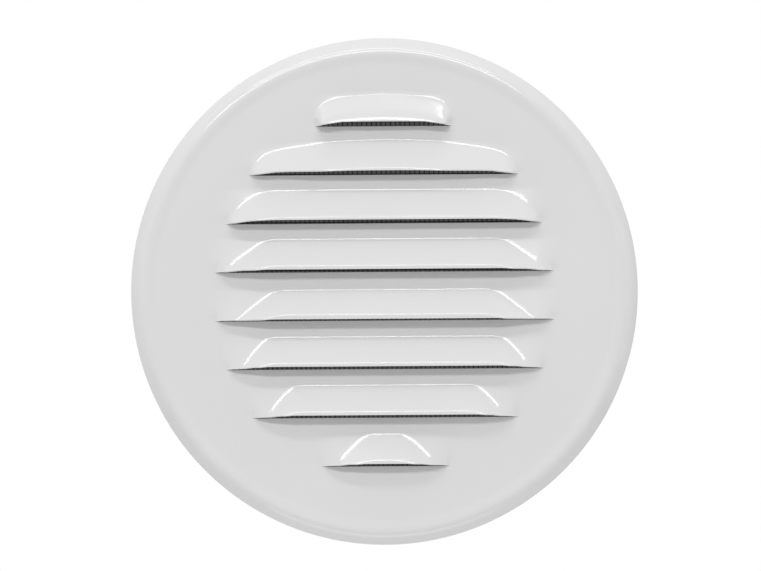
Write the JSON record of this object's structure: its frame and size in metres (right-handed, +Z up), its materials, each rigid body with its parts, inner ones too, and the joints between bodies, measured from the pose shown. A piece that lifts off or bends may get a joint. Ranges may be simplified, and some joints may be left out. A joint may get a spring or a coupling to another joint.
{
  "type": "round vent cover",
  "caption": "Round white louvred vent cover with a bevelled rim, a fly screen behind its slits, and a collar with spring clips that grips a round duct.",
  "frame": {"origin": "centre of the wall plane that the rim's edge seats on, on the axis of the collar", "axes": "+Z up as fitted, -Y towards the room (the louvred face), +Y into the duct along the collar's axis"},
  "size_m": [0.15, 0.0299, 0.15],
  "materials": {
    "white_powder_coat": "smooth semi-gloss white powder coat on steel sheet",
    "charcoal_screen": "vinyl-coated glass-fibre fly screen",
    "spring_wire": "drawn galvanised wire",
    "spring_steel": "rolled spring steel strip",
    "rivet_aluminium": "plain aluminium"
  },
  "bodies": {
    "root": {"face_plate": "white_powder_coat", "duct_collar": "white_powder_coat", "insect_screen": "charcoal_screen", "screen_ring": "spring_wire", "spring_clip_1": "spring_steel", "spring_clip_2": "spring_steel", "spring_clip_3": "spring_steel", "spring_clip_4": "spring_steel", "clip_rivets": "rivet_aluminium"}
  },
  "joints": []
}
